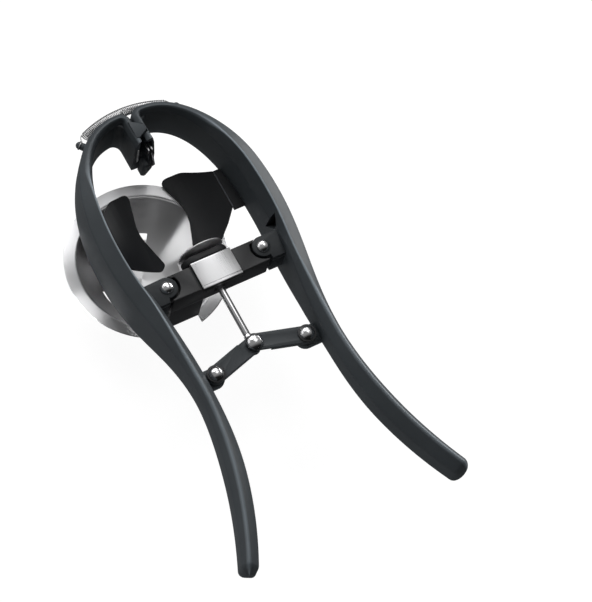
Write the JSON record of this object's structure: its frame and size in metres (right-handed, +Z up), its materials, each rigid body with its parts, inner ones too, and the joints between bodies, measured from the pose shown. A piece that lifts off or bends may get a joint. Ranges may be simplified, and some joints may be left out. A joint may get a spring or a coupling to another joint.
{
  "type": "egg cracker",
  "caption": "Hand-squeezed egg cracker: sprung lever arms form a loop with a beak, a toggle pushes a cup, and a clip-on dish separates the yolk.",
  "frame": {"origin": "middle of the overall width and length, at the level of the dish's foot", "axes": "+X to the right arm, +Y to the beak, +Z up to the rivet heads"},
  "size_m": [0.1118, 0.2234, 0.062],
  "materials": {
    "grey_plastic": "satin",
    "dark_plastic": "satin",
    "black_plastic": "satin",
    "bright_steel": "satin",
    "polished_steel": "polished",
    "dish_steel": "polished",
    "bush_metal": "turned"
  },
  "bodies": {
    "crossbar_unit": {"crossbar": "black_plastic", "guide_bush": "bush_metal", "guide_cover": "bright_steel", "dish_clip": "black_plastic", "clip_screws": "bright_steel", "left_pivot_rivet": "polished_steel", "right_pivot_rivet": "polished_steel", "return_spring": "bright_steel"},
    "left_lever": {"left_arm": "grey_plastic", "left_cradle": "dark_plastic", "left_blade": "bright_steel", "left_spring_peg": "grey_plastic", "left_link_rivet": "polished_steel", "left_link_washer": "black_plastic"},
    "right_lever": {"right_arm": "grey_plastic", "right_cradle": "dark_plastic", "right_blade": "bright_steel", "right_spring_peg": "grey_plastic", "right_link_rivet": "polished_steel", "right_link_washer": "black_plastic"},
    "left_link_bar": {"left_link": "black_plastic"},
    "right_link_bar": {"right_link": "black_plastic"},
    "plunger": {"plunger_rod": "polished_steel", "pusher_hub": "black_plastic", "pusher_cup": "polished_steel", "pusher_screw": "polished_steel", "toggle_pin": "polished_steel"},
    "dish": {"separator_dish": "dish_steel"}
  },
  "joints": [
    {"name": "left_squeeze", "type": "hinge", "parent": "crossbar_unit", "child": "left_lever", "pos_m": [-0.0242, 0.02, 0.056], "axis": [0, 0, 1], "range_deg": [0, 10], "stiffness_Nm_per_rad": 1.2, "springref_deg": -14.32, "deforming": ["return_spring"]},
    {"name": "right_squeeze", "type": "hinge", "parent": "crossbar_unit", "child": "right_lever", "pos_m": [0.0242, 0.02, 0.056], "axis": [0, 0, 1], "range_deg": [-10, 0]},
    {"name": "left_link_swing", "type": "hinge", "parent": "left_lever", "child": "left_link_bar", "pos_m": [-0.0228, -0.0243, 0.051], "axis": [0, 0, 1], "range_deg": [0, 26.7]},
    {"name": "right_link_swing", "type": "hinge", "parent": "right_lever", "child": "right_link_bar", "pos_m": [0.0228, -0.0243, 0.051], "axis": [0, 0, 1], "range_deg": [-26.7, 0]},
    {"name": "plunger_push", "type": "slide", "parent": "crossbar_unit", "child": "plunger", "axis": [0, 1, 0], "range_m": [0, 0.0138]},
    {"name": "dish_release", "type": "slide", "parent": "crossbar_unit", "child": "dish", "axis": [0, 0, -1], "range_m": [0, 0.022]}
  ],
  "couplings": [
    {"joint": "right_squeeze", "follows": "left_squeeze", "ratio": -1},
    {"joint": "left_link_swing", "follows": "left_squeeze", "ratio": 2.658},
    {"joint": "right_link_swing", "follows": "left_squeeze", "ratio": -2.658},
    {"joint": "plunger_push", "follows": "left_squeeze", "m_per_rad": 0.0785}
  ]
}
